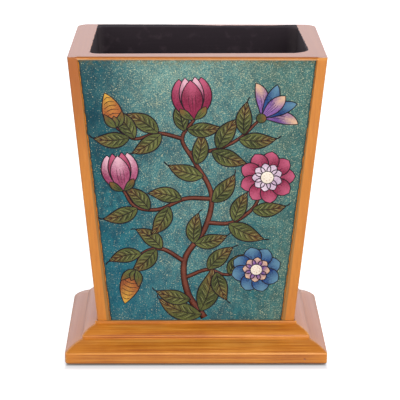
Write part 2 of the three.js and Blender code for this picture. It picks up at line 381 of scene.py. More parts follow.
def board_paint():
    """Gold outside and on the rim, matt black inside the mouth and over the back of the rim."""
    finish = Finish("board_paint")
    height = finish.z - foot_z / MM
    out = height * (flare / body_height)
    black = black_places(finish, height, out)

    # The rim is brushed front to back. Its top is pinker with a painted reflection, and deeper gold
    # along the front edge.
    below_rim = body_height / MM - height
    from_front = finish.y + out + (rim_half_depth - flare) / MM
    on_top = below_rim.falls(0.1, 0.5)
    tint, relief = brushed_gold(finish, ALONG_Z, 0.9, 0.45)
    top_tint, top_relief = brushed_gold(finish, ALONG_Y, 1.6, 0.4)
    top_tint = finish.mix(0.35, top_tint, RIM_TAN)
    top_tint = finish.mix(from_front.falls(0.8, 3.2) * 0.9, top_tint, GOLD_DEEP)
    tint = finish.mix(on_top, tint, top_tint)
    relief = relief * (1 - on_top) + top_relief * on_top

    # The strips beside the glass are a little paler, with a painted highlight at their tops; painted
    # shade darkens the upper half of the left one.
    on_front = from_front.falls(0.2, 0.6)
    past_panel = abs(finish.x) - out - (rim_half_width - flare - strip_at_rim) / MM
    beside = past_panel.rises(-0.2, 0.2)
    strip = on_front * beside
    tint = finish.mix(strip * (0.1 + below_rim.falls(0.4, 1.5) * 0.4), tint, GOLD_PALE)
    tint = finish.mix(strip * finish.x.falls(-1, 1) * below_rim.falls(5, 50) * 0.8, tint, GOLD_DARK)
    # Painted shade: the lip over the glass turns darker olive gold towards its foot.
    lip_foot_shade = on_front * (1 - beside) * below_rim.rises(0.45, 0.8)
    tint = finish.mix(lip_foot_shade * 0.6, tint, OLIVE_GOLD)

    gold = gold_surface(finish, tint, relief, 0.02)
    # Painted sheen: the black turns greyer on the mouth's side walls.
    wall_sheen = (abs(finish.x) - out - inner_x).rises(-4.5, 0.5)
    shaders = {0: black, 1: gold, 2: black_surface(finish, wall_sheen)}
    return finish.wear(finish.node("ShaderNodeMixShader", {}, shaders))


def gold_moulding(name, grain, contrast, coat, lined, side_shade):
    """Gold paint, with painted shade as dark lines between the members, painted highlights on their
    edges, and painted shade in a pin's dent.
    """
    finish = Finish(name)
    tint, relief = brushed_gold(finish, grain, 0.6, contrast)
    height = finish.z - base_low.z / MM
    ends = (lower_foot, lower_top, upper_foot, upper_top)
    low_foot, low_top, high_foot, high_top = ((end - base_low.z) / MM for end in ends)
    uneven = finish.noise(1.1, 3, grain, shift=15)
    # Painted shade: dark lines in the hollows between the members, also where paint gathered.
    for low, high, strength in (
        (low_foot - 0.85, low_foot - 0.3, 0.8),
        (low_top + 0.05, high_foot - 0.1, 0.95),
        (high_foot - 0.1, high_foot + 0.45, 0.85),
        (high_top, high_top + 0.9, 0.7),
    ):
        line = height.rises(low, low + 0.25) * height.falls(high - 0.25, high)
        tint = finish.mix(line * strength * lined * uneven.rises(0.3, 0.55), tint, GOLD_DARK)
    # Painted highlights: pale lines along the members' edges.
    for middle, strength in ((low_foot + 0.1, 0.6), (low_top - 0.25, 0.75)):
        ridge = abs(height - middle).falls(0.15, 0.4)
        tint = finish.mix(ridge * strength * lined * uneven.rises(0.3, 0.6), tint, GOLD_PALE)
    tint = finish.mix(height.falls(low_foot - 0.8, low_foot - 0.2) * 0.22, tint, FASCIA_BROWN)
    # Painted shade: the side lengths are darker and rosier.
    tint = finish.mix(side_shade, tint, ROSE_GOLD)

    # The brush turned at the mitres, so the paint is smooth there; the pale line along each mitre is a
    # painted highlight, with some paint gathered there.
    from_mitre = abs(abs(finish.x) - foot_half_width / MM - abs(finish.y) + foot_half_depth / MM)
    tint = finish.mix(from_mitre.falls(1, 9) * 0.7, tint, GOLD_MIDDLE)
    tint = finish.mix(from_mitre.falls(0.2, 0.7) * uneven.rises(0.35, 0.6) * 0.7, tint, GOLD_PALE)
    # Painted shade along the base's bottom edge.
    tint = finish.mix(height.falls(0.2, 0.75) * 0.9, tint, FOOT_SHADE)
    # Painted shade in the pin's dent.
    at_front = finish.y.falls(-26, -25)
    from_pin = ((finish.x - pin_x / MM) ** 2 + (finish.z - pin_z / MM) ** 2) ** 0.5
    tint = finish.mix(from_pin.falls(0.25, 0.5) * at_front * 0.55, tint, DENT_SHADE)
    return finish.wear(gold_surface(finish, tint, relief, 0.05, coat))


def black_paint():
    finish = Finish("black_paint")
    return finish.wear(black_surface(finish))


def fibreboard():
    finish = Finish("fibreboard")
    fibres = finish.noise(0.35, 4, roughness=0.7)
    cloud = finish.noise(6, 2, shift=4)
    tint = finish.mix(fibres * 0.7 + cloud * 0.3, colour(128, 92, 58), colour(186, 150, 108))
    relief = finish.bump(fibres, 0.08)
    return finish.wear(finish.surface({"Base Color": tint, "Roughness": 0.85, "Normal": relief}))


def felt():
    finish = Finish("felt")
    fibres = finish.noise(0.18, 5, (3, 1, 1), 0.75)
    tufts = finish.noise(1.4, 3, shift=9)
    return finish.wear(finish.surface({
        "Base Color": finish.mix(fibres * 0.6 + tufts * 0.4, colour(22, 16, 14), colour(66, 52, 44)),
        "Roughness": 0.95,
        "Sheen Weight": 0.4,
        "Sheen Roughness": 0.6,
        "Sheen Tint": colour(120, 100, 90),
        "Normal": finish.bump(fibres, 0.15),
    }))


def steel():
    finish = Finish("steel")
    scratches = finish.noise(0.15, 3, ALONG_X, 0.6)
    tint = finish.mix(scratches, colour(150, 150, 148), colour(205, 205, 200))
    rough = 0.28 + scratches * 0.2
    return finish.wear(finish.surface({"Base Color": tint, "Metallic": 0.95, "Roughness": rough}))


TEAL_DEEP = colour(8, 64, 80)
TEAL = colour(30, 104, 114)
TEAL_SHADE = colour(14, 56, 66)
TEAL_BLUE = colour(20, 96, 116)
TEAL_GREEN = colour(46, 96, 84)
HAZE = colour(136, 180, 166)
GREEN_HAZE = colour(132, 158, 128)
CREAM_GOLD = colour(208, 208, 168)
PANEL_LINE = colour(34, 46, 44)


def behind_glass(finish, tint, relief, coat_roughness):
    """Paint seen through clear glass."""
    return finish.wear(finish.surface({
        "Base Color": tint,
        "Roughness": 0.4,
        "Specular IOR Level": 0.12,
        "Coat Weight": 0.1,
        "Coat Roughness": coat_roughness,
        "Normal": finish.bump(relief, 0.02),
    }))


def glass_ground():
    """The panel's ground: mottled teal sprayed with cream and gold."""
    finish = Finish("teal_ground")
    x = finish.x
    height = finish.z - foot_z / MM
    high = height / (body_height / MM)
    widening = (flare + strip_at_foot - strip_at_rim) / body_height
    from_edge = (rim_half_width - flare - strip_at_foot) / MM + height * widening - abs(x)

    # Deep teal, darkest at the upper left and bluest at the lower left.
    brush = finish.noise(3, 4, (1, 1, 1.6), 0.6, shift=3)
    base = finish.mix(brush.rises(0.35, 0.65), TEAL_DEEP, TEAL)
    base = finish.mix(x.falls(-36, -10) * high.rises(0.45, 0.75) * 0.6, base, TEAL_SHADE)
    base = finish.mix(x.falls(-26, 8) * high.falls(0.1, 0.55) * 0.6, base, TEAL_BLUE)
    # Painted shade along the panel's sides, beside the raised strips.
    base = finish.mix(from_edge.falls(0, 4) * 0.3, base, TEAL_SHADE)

    # Cream and gold were sprayed on from the top and the right.
    clusters = finish.noise(12, 3, shift=21) - 0.5
    spray = (
        0.1
        + x.rises(-34, -8) * (0.12 + high.rises(0, 0.5) * 0.24)
        + high.rises(0.6, 1) * x.rises(-38, -20) * x.falls(-5, 36) * 0.35
        + x.rises(14, 34) * high.falls(0, 0.5) * 0.3
        + clusters * 0.7
    )
    grain = finish.noise(0.3, 2, shift=31)
    base = finish.mix(x.rises(0, 32) * 0.35, base, TEAL_GREEN)
    haze = finish.mix(x.rises(0, 32) * 0.9, HAZE, GREEN_HAZE)
    tint = finish.mix(spray.most(0) ** 1.6 * 0.6, base, haze)
    tint = finish.mix(grain.rises(0.5, 0.75) * spray.rises(-0.2, 1) * 0.5, tint, CREAM_GOLD)
    tint = finish.mix(grain.falls(0.3, 0.55) * 0.6, tint, TEAL_DEEP)
    for spacing, radius, share, strength in (
        (0.4, 0.14, 0.8, 0.75),
        (0.8, 0.2, 0.94, 0.65),
        (1.4, 0.25, 0.95, 0.6),
    ):
        dots, chance = finish.specks(spacing, radius, shift=spacing * 17)
        chosen = dots * (chance + spray * 0.6 - share).rises(0, 0.2)
        tint = finish.mix(chosen * strength, tint, CREAM_GOLD)
    # Painted shade at the top of the glass, below the lip: olive gold.
    under_lip_shade = high.rises(0.955, 0.99) * finish.noise(1.2, 2, shift=41).rises(0.4, 0.6)
    tint = finish.mix(under_lip_shade * 0.45, tint, OLIVE_GOLD)

    # Gold paint laps unevenly over the glass beside the strips, with a dark line along it.
    lap = finish.noise(2.4, 4, shift=51, roughness=0.65) * 0.9 - 0.2
    line = lap + 0.2 + finish.noise(1.6, 2, shift=61) * 0.45
    tint = finish.mix((from_edge - line).falls(0, 0.2) * 0.75, tint, PANEL_LINE)
    tint = finish.mix((from_edge - lap).falls(0, 0.08), tint, GOLD_MIDDLE)
    return behind_glass(finish, tint, grain, 0.12)


def art_paint(name, dark, light, tip=None):
    """A brush-drawn colour with streaks; with a tip colour it changes along the petal or leaf."""
    finish = Finish(name)
    across, along, _ = finish.axes(finish.node("ShaderNodeUVMap"))
    brush = finish.noise(0.45, 3, roughness=0.6)
    cloud = finish.noise(5, 2, shift=13)
    tint = finish.mix((brush * 0.5 + cloud * 0.5).rises(0.32, 0.68), dark, light)
    if tip:
        reach = along + brush * 0.3 - abs(across - 0.5) * 0.3
        tint = finish.mix(reach.rises(0.5, 0.95), tint, tip)
    return behind_glass(finish, tint, brush, 0.15)


# Modelling.


def pick(*pieces):
    """Selects these pieces and no others. The first one becomes the active one."""
    bpy.ops.object.select_all(action="DESELECT")
    for piece in pieces:
        piece.select_set(True)
    bpy.context.view_layer.objects.active = pieces[0]


def open_mesh(piece, kind, test=None):
    """Opens a mesh for editing, with what passes the test selected, or everything without one."""
    pick(piece)
    bpy.ops.object.mode_set(mode="EDIT")
    bpy.ops.mesh.select_mode(type=kind)
    bpy.ops.mesh.select_all(action="DESELECT" if test else "SELECT")
    if test:
        mesh = bmesh.from_edit_mesh(piece.data)
        for element in {"VERT": mesh.verts, "EDGE": mesh.edges, "FACE": mesh.faces}[kind]:
            element.select_set(bool(test(element)))
        bmesh.update_edit_mesh(piece.data)


def close_mesh():
    bpy.ops.object.mode_set(mode="OBJECT")


def round_edges(piece, radius, test, segments=3):
    """Bevels the edges whose two ends pass the test."""
    open_mesh(piece, "EDGE", lambda edge: test(*(vertex.co for vertex in edge.verts)))
    bpy.ops.mesh.bevel(offset=radius, segments=segments, affect="EDGES")
    close_mesh()


def shift_corners(piece, test, across, along=0):
    """Moves the corners whose places pass the test along X and Y."""
    open_mesh(piece, "VERT", lambda vertex: test(vertex.co))
    bpy.ops.transform.translate(value=(across, along, 0))
    close_mesh()


def score(piece, point, normal):
    """Adds edges to the piece where a plane crosses it."""
    open_mesh(piece, "FACE")
    bpy.ops.mesh.bisect(plane_co=point, plane_no=normal)
    close_mesh()


def merge(piece):
    """Joins corners that lie together, and turns all faces outwards."""
    open_mesh(piece, "VERT")
    bpy.ops.mesh.remove_doubles(threshold=0.0005 * MM)
    bpy.ops.mesh.normals_make_consistent(inside=False)
    close_mesh()


def place_in_mesh(piece):
    """Moves the piece's place, turn and scale into its mesh."""
    pick(piece)
    bpy.ops.object.transform_apply(location=True, rotation=True, scale=True)


def block(name, low, high):
    """A box between two corners."""
    low, high = Vector(low), Vector(high)
    bpy.ops.mesh.primitive_cube_add(size=1, location=(low + high) / 2, scale=high - low)
    piece = bpy.context.object
    piece.name = name
    place_in_mesh(piece)
    return piece


def faces_up(face):
    return face.normal.z > 0.9


def leaning_block(name, low, high, bounds_at):
    """A box between two heights in the body, whose sides lean. bounds_at(height) gives x and y."""
    (left, right), (front, back) = bounds_at(low)
    piece = block(name, (left, front, foot_z + low), (right, back, foot_z + high))
    (top_left, top_right), (top_front, top_back) = bounds_at(high)
    shift_x = (top_left + top_right - left - right) / 2
    shift_y = (top_front + top_back - front - back) / 2
    middle = ((top_left + top_right) / 2, (top_front + top_back) / 2, foot_z + high)
    growth = ((top_right - top_left) / (right - left), (top_back - top_front) / (back - front), 1)
    open_mesh(piece, "FACE", faces_up)
    bpy.ops.transform.translate(value=(shift_x, shift_y, 0))
    bpy.ops.transform.resize(value=growth, center_override=middle)
    close_mesh()
    return piece


def cut(piece, other):
    """Cuts the other piece from this one."""
    bpy.context.view_layer.objects.active = piece
    modifier = piece.modifiers.new("cut", "BOOLEAN")
    modifier.operation = "DIFFERENCE"
    modifier.solver = "EXACT"
    modifier.object = other
    bpy.ops.object.modifier_apply(modifier=modifier.name)
    bpy.data.objects.remove(other)


def copy_of(piece, name):
    pick(piece)
    bpy.ops.object.duplicate(linked=False)
    copy = bpy.context.object
    copy.name = name
    return copy


def keep_behind(piece, point, normal):
    """Saws the piece through along a plane and keeps what lies behind the plane."""
    normal = Vector(normal).normalized()
    reach = 0.3
    waste = block("waste", (-reach, -reach, 0), (reach, reach, 2 * reach))
    waste.rotation_euler = normal.to_track_quat("Z", "Y").to_euler()
    waste.location = point
    place_in_mesh(waste)
    cut(piece, waste)


def smooth(piece, large=None):
    """Smooth shading over shallow edges. Faces above large, in square millimetres, stay flat."""
    pick(piece)
    bpy.ops.object.shade_smooth_by_angle(angle=math.radians(35))
    if large:
        area = large * MM * MM
        open_mesh(piece, "EDGE", lambda edge: any(face.calc_area() > area for face in edge.link_faces))
        bpy.ops.mesh.mark_sharp()
        close_mesh()


def dress(piece, slot, material, *nodes):
    """Gives a new piece its material, attaches it to the root body and hides the CAD nodes that it
    stands for. The slot is not used.
    """
    if material:
        piece.data.materials.clear()
        piece.data.materials.append(material)
    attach(piece, "root")
    if nodes:
        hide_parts(*nodes)


# The body: one shell, shaped whole so that its painted-over joints meet, then sawn into its boards.


def level_bounds(side, face):
    """The body's bounds at a height, less the thickness of its sides and of its faces."""

    def bounds(height):
        half_x, half_y = half_width_at(height) - side, half_depth_at(height) - face
        return (-half_x, half_x), (-half_y, half_y)

    return bounds


def panel_bounds(sign, gap, near, far):
    """Bounds between the strips, from near to far behind the front face (-1) or the back one (1)."""

    def bounds(height):
        half_x = half_width_at(height) - strip_at(height) - gap
        face = half_depth_at(height)
        return (-half_x, half_x), tuple(sorted((sign * (face - near), sign * (face - far))))

    return bounds


def corner_test(right, back):
    """Tests for an edge that isn't level, right or left and back or front. None is right and left."""

    def test(start, end):
        rises = abs(start.z - end.z) > 0.01 * MM
        across = right is None or (start.x > 0) == right
        return rises and across and (start.y > 0) == back

    return test


def narrow_mouth(mouth):
    """Moves the walls of the mouth inwards at the rim, where the boards are thicker."""
    rim_z = foot_z + body_height
    for side, extras in ((-1, left_board_extra), (1, right_board_extra)):
        for face, extra in zip((-1, 1), extras):
            shift_corners(
                mouth,
                lambda place: place.z > rim_z and place.x * side > 0 and place.y * face > 0,
                -side * extra,
                front_board_extra[side > 0] if face < 0 else 0,
            )


def body_shell():
    shell = leaning_block("body_shell", 0, body_height, level_bounds(0, 0))

    # The back left corner leans in a little near the rim, above the pins.
    shift_z = foot_z + back_left_shift_foot
    score(shell, (0, 0, shift_z), (0, 0, 1))
    above = shift_z + 1 * MM
    shift_corners(shell, lambda place: place.z > above and place.x < 0 < place.y, back_left_shift)
    round_edges(shell, front_corner_radius, corner_test(None, False))
    round_edges(shell, back_corner_radius, corner_test(True, True), 8)
    round_edges(shell, back_corner_radius, corner_test(False, True), 8)

    beyond = 2 * MM
    mouth = leaning_block(
        "mouth", -beyond, body_height + beyond, level_bounds(side_thickness, face_thickness)
    )
    narrow_mouth(mouth)
    round_edges(mouth, front_left_mouth_radius, corner_test(False, False), 6)
    round_edges(mouth, front_right_mouth_radius, corner_test(True, False), 8)
    round_edges(mouth, back_mouth_radius, corner_test(None, True), 6)
    cut(shell, mouth)
    for sign in (-1, 1):
        bounds = panel_bounds(sign, 0, -1 * MM, recess_depth)
        cut(shell, leaning_block("recess", -beyond, body_height - lip_height, bounds))
    round_rim(shell)
    return shell


def round_rim(shell):
    """Rounds the rim's edges. The lip over each glass is round only between the strips."""
    lip_end = rim_half_width - strip_at_rim - 0.3 * MM
    for sign in (-1, 1):
        score(shell, (sign * lip_end, 0, 0), (1, 0, 0))
    rim_z = foot_z + body_height
    level, near, at_wall = 0.01 * MM, 0.05 * MM, 0.2 * MM

    def on_rim(point):
        return abs(point.z - rim_z) < level

    def on_lip(point):
        on_face = abs(abs(point.y) - rim_half_depth) < near
        return on_rim(point) and on_face and abs(point.x) < lip_end + level

    def on_side(point):
        share = (point.y + rim_half_depth) / (2 * rim_half_depth)
        left_x = -rim_half_width + share * back_left_shift
        outermost = point.x > rim_half_width - near or point.x < left_x + near
        return on_rim(point) and outermost

    def at_mouth(point):
        between_sides = abs(point.x) < rim_half_width - side_thickness + at_wall
        between_faces = abs(point.y) < rim_half_depth - face_thickness + at_wall
        return on_rim(point) and between_sides and between_faces

    for radius, test, segments in (
        (lip_radius, on_lip, 5),
        (side_rim_radius, on_side, 3),
        (mouth_edge_radius, at_mouth, 2),
    ):
        round_edges(shell, radius, lambda start, end: test(start) and test(end), segments)


def body_boards():
    shell = body_shell()
    paint = board_paint()
    stub = 0.05 * MM

    def finish_board(name, point, normal):
        board = copy_of(shell, f"painted_{name}")
        keep_behind(board, point, normal)
        smooth(board, 30)
        dress(board, "gold_painted_wood", paint, name)

    for side, sign, extra in (("left", -1, left_board_extra), ("right", 1, right_board_extra)):
        plane_x = sign * (half_width_at(0) - side_thickness - max(extra) - stub)
        out = Vector((sign, 0, -flare / body_height))
        finish_board(f"{side}_board", (plane_x, 0, foot_z), -out)
        keep_behind(shell, (plane_x, 0, foot_z), out)
    for face, sign in (("front", -1), ("back", 1)):
        finish_board(f"{face}_board", (0, 0, 0), (0, -sign, 0))
    bpy.data.objects.remove(shell)


# The moulding: the whole base shape is raised step by step, then mitred into four lengths.


def moulding_section():
    """Points of the moulding's section from its foot up: distance outside the body, and height."""
    step = moulding_width - lower_member[0]
    lower_slope = member_steps(moulding_width, lower_foot, lower_member)
    upper_slope = member_steps(step, upper_foot, upper_member)
    inside = (moulding_width - 1 * MM, base_low.z)
    foot = (moulding_width, base_low.z)
    fascia_top = (moulding_width, lower_foot)
    top = base_high.z
    return [
        *rounded(inside, foot, fascia_top, fascia_foot_radius),
        *rounded(foot, fascia_top, lower_slope[0], fascia_top_radius),
        *lower_slope,
        *rounded((step, lower_top), (step, upper_foot), upper_slope[0], fillet_radius),
        *upper_slope,
        *rounded((top_ledge, upper_top), (top_ledge, top), (0, top), fillet_radius),
    ]


def rounded(before, corner, after, radius):
    """A rounded corner of a section: a short curve of four steps."""
    before, corner, after = Vector(before), Vector(corner), Vector(after)
    start = corner + (before - corner).normalized() * radius
    end = corner + (after - corner).normalized() * radius
    shares = [index / 4 for index in range(5)]
    return [tuple(start * (1 - t) ** 2 + corner * 2 * t * (1 - t) + end * t * t) for t in shares]


def member_steps(out, foot, member):
    """A swelling slope, inwards and upwards from its lower outer corner."""
    width, height = member
    swell_out = out - width / 2 + member_fullness * width / 2
    swell_z = foot + height / 2 + member_fullness * height / 2
    steps = 9
    points = []
    for index in range(1, steps + 1):
        t = index / steps
        a, b, c = (1 - t) ** 2, 2 * t * (1 - t), t * t
        across = a * out + b * swell_out + c * (out - width)
        points.append((across, a * foot + b * swell_z + c * (foot + height)))
    return points


def base_shape():
    """The base as one form, raised from its foot ring by ring along the moulding's section."""
    (out, height), *steps = moulding_section()
    half_x, half_y = foot_half_width + out, foot_half_depth + out
    shape = block("base_shape", (-half_x, -half_y, height), (half_x, half_y, steps[0][1]))
    for radius, right, back, segments in (
        (base_front_left_radius, False, False, 5),
        (base_front_right_radius, True, False, 4),
        (base_back_radius, None, True, 8),
    ):
        round_edges(shape, radius, corner_test(right, back), segments)
    open_mesh(shape, "FACE", faces_up)
    for index, (next_out, next_height) in enumerate(steps):
        if index:
            rise = {"value": (0, 0, next_height - height)}
            bpy.ops.mesh.extrude_region_move(TRANSFORM_OT_translate=rise)
        growth_x = (foot_half_width + next_out) / (foot_half_width + out)
        growth_y = (foot_half_depth + next_out) / (foot_half_depth + out)
        bpy.ops.transform.resize(value=(growth_x, growth_y, 1), center_override=(0, 0, next_height))
        out, height = next_out, next_height
    close_mesh()
    return shape


def mouldings():
    shape = base_shape()
    half_x, half_y = foot_half_width + moulding_gap, foot_half_depth + moulding_gap
    beyond = 1 * MM
    core = block(
        "core", (-half_x, -half_y, base_low.z - beyond), (half_x, half_y, base_high.z + beyond)
    )
    cut(shape, core)
    bpy.ops.mesh.primitive_uv_sphere_add(
        segments=16,
        ring_count=8,
        radius=dent_radius,
        location=(pin_x, -base_half_depth - dent_stand_off, pin_z),
    )
    dent = bpy.context.object
    place_in_mesh(dent)
    cut(shape, dent)

    along_x = gold_moulding("gold_along_x", ALONG_X, 1.65, 0.45, 1, 0)
    # The side lengths get weaker painted lines and highlights, and painted shade.
    along_y = gold_moulding("gold_along_y", ALONG_Y, 0.35, 0.8, 0.25, 0.3)
    for name, paint, out in (
        ("front", along_x, Vector((0, -1, 0))),
        ("back", along_x, Vector((0, 1, 0))),
        ("left", along_y, Vector((-1, 0, 0))),
        ("right", along_y, Vector((1, 0, 0))),
    ):
        piece = copy_of(shape, f"painted_{name}_moulding")
        for sign in (-1, 1):
            across = sign * Vector((-out.y, out.x, 0))
            corner_x = foot_half_width * (out.x + across.x)
            corner_y = foot_half_depth * (out.y + across.y)
            keep_behind(piece, (corner_x, corner_y, 0), across - out)
        smooth(piece)
        dress(piece, "gold_painted_wood", paint, f"{name}_moulding")
    bpy.data.objects.remove(shape)


# The panels of painted glass.


def panels():
    ground = glass_ground()
    for face, sign in (("front", -1), ("back", 1)):
        bounds = panel_bounds(sign, glass_gap, glass_set_back, glass_set_back + glass_thickness)
        top = body_height - lip_height - glass_gap
        glass = leaning_block(f"{face}_panel", glass_gap, top, bounds)
        round_edges(glass, glass_edge_radius, lambda start, end: True, 2)
        smooth(glass, 30)
        dress(glass, "painted_glass", ground, f"{face}_glass")


# The painted picture: flowering stems drawn in the plane of the glass, in millimetres, to the right
# and up from the middle of the body's foot. A level is a height above the glass.

STEM_LEVEL = 0.012
LEAF_LEVEL = 0.022
LEAF_STEP = 0.0045
BLOOM_LEVEL = 0.195
COAT = 0.006
COAT_THICKNESS = 0.002
LINE_LIFT = 0.003
LINE_FLATNESS = 0.01

# Each has its material's name, and streaks from the first colour to the second. A third colour is
# for the tips of petals and leaves.
PAINTS = {
    "leaf": ("leaf_paint", (50, 58, 34), (100, 106, 58), (116, 82, 46)),
    "crimson": ("crimson_paint", (100, 26, 50), (146, 46, 78), (176, 84, 112)),
    "rose": ("rose_paint", (128, 48, 80), (172, 96, 128), (212, 168, 182)),
    "lilac": ("lilac_paint", (176, 150, 176), (222, 206, 218)),
    "blue": ("blue_paint", (18, 36, 92), (40, 78, 132), (88, 128, 152)),
    "violet": ("violet_paint", (84, 56, 120), (136, 98, 160), (206, 170, 140)),
    "bud": ("bud_paint", (118, 64, 40), (176, 108, 56), (196, 150, 64)),
    "heart": ("heart_paint", (206, 192, 176), (236, 228, 214)),
}
INKS = {
    "dark": ("dark_line", (28, 22, 30), (46, 34, 42)),
    "brown": ("brown_stem", (88, 46, 38), (122, 70, 54)),
    "pale": ("pale_line", (128, 134, 84), (160, 160, 110)),
    "ochre": ("ochre_line", (170, 120, 60), (206, 160, 90)),
}

# Stems: points from root to tip, the radius at both ends, and the leaves. A leaf has its place
# as a share of the stem, its side (1 left, -1 right), length, width, bend and angle to the stem.
STEMS = (
    (((3, 1), (-3, 11), (-4, 24), (3, 36), (5, 49), (-1, 61), (-5, 69), (-1, 76)), 1.1, 0.45, (
        (0.03, 1, 17, 7.0, 0.7, 0.95),
        (0.05, -1, 18, 7.6, 0.6, 1.1),
        (0.12, 1, 13, 5.6, 0.6, 1.1),
        (0.37, -1, 12, 5.4, 0.6, 0.9),
        (0.36, 1, 12, 5.4, 0.5, 0.8),
        (0.55, -1, 13, 6.0, 0.5, 0.9),
        (0.66, 1, 13, 5.8, 0.5, 0.9),
        (0.7, -1, 12, 5.4, 0.5, 0.9),
        (0.93, -1, 12, 5.2, 0.6, 1.1),
        (0.92, 1, 12, 5.2, 0.6, 1.0),
    )),
    (((-3.6, 17), (4, 20), (10, 18), (16, 19)), 0.6, 0.35, (
        (0.35, 1, 12.5, 5.8, 0.5, 1.0),
        (0.5, -1, 12, 5.6, 0.5, 1.0),
        (0.75, 1, 10, 4.6, 0.5, 1.1),
    )),
    (((-4, 23), (-12, 28), (-19, 26), (-21, 20)), 0.7, 0.4, (
        (0.35, -1, 12, 5.6, 0.5, 0.9),
        (0.45, 1, 12.5, 5.8, 0.5, 0.9),
        (0.7, -1, 12, 5.4, 0.5, 0.9),
    )),
    (((3.6, 38), (12, 38), (19, 43), (22, 49)), 0.7, 0.4, (
        (0.3, -1, 14, 6.4, 0.5, 0.9),
        (0.4, 1, 12, 5.4, 0.5, 0.9),
        (0.7, -1, 12, 5.4, 0.4, 1.0),
    )),
    (((5, 47), (-4, 47), (-13, 43), (-21, 44), (-25, 50)), 0.7, 0.4, (
        (0.3, -1, 12, 5.6, 0.5, 0.9),
        (0.42, 1, 12.5, 5.8, 0.5, 0.9),
        (0.6, -1, 12, 5.4, 0.5, 1.0),
        (0.72, 1, 13, 5.8, 0.5, 1.1),
    )),
    (((-2.5, 64), (6, 65), (14, 69), (21, 76)), 0.6, 0.35, (
        (0.3, -1, 13, 6.0, 0.5, 0.8),
        (0.4, 1, 13, 6.0, 0.5, 0.9),
        (0.68, -1, 13, 5.8, 0.5, 0.9),
        (0.75, 1, 12, 5.4, 0.5, 0.9),
    )),
    (((-4.6, 69), (-13, 71), (-21, 69), (-27, 73)), 0.6, 0.35, (
        (0.3, 1, 12.5, 5.6, 0.5, 0.9),
        (0.35, -1, 13, 5.8, 0.5, 0.9),
        (0.7, -1, 13, 5.6, 0.5, 0.9),
        (0.75, 1, 12.5, 5.6, 0.5, 0.9),
    )),
)


def aim(angle):
    """A step of one millimetre in a direction."""
    return Vector((math.cos(angle), math.sin(angle)))


def blade(base, heading, length, width, bend, fullness=1.0, blunt=1.0):
    """A leaf's or petal's shape: gives the point at a share along it and a share across it."""

    def place(along, across):
        turn = heading + bend * along
        if abs(bend) < 0.001:
            step = aim(heading) * length * along
        else:
            curve = (math.sin(turn) - math.sin(heading), math.cos(heading) - math.cos(turn))
            step = Vector(curve) * (length / bend)
        half = width / 2 * max(math.sin(math.pi * along**fullness), 0) ** blunt
        return Vector(base) + step + Vector((-math.sin(turn), math.cos(turn))) * half * across

    return place


def curve_through(points):
    """A smooth line through points: a list of finely spaced points."""
    steps = 8
    points = [Vector(point) for point in points]
    ends = [2 * points[0] - points[1], *points, 2 * points[-1] - points[-2]]
    line = []
    for a, b, c, d in zip(ends, ends[1:], ends[2:], ends[3:]):
        for t in (step / steps for step in range(steps)):
            curve = 2 * b + (c - a) * t + (2 * a - 5 * b + 4 * c - d) * t**2
            line.append(0.5 * (curve + (3 * b - a - 3 * c + d) * t**3))
    return [*line, points[-1]]


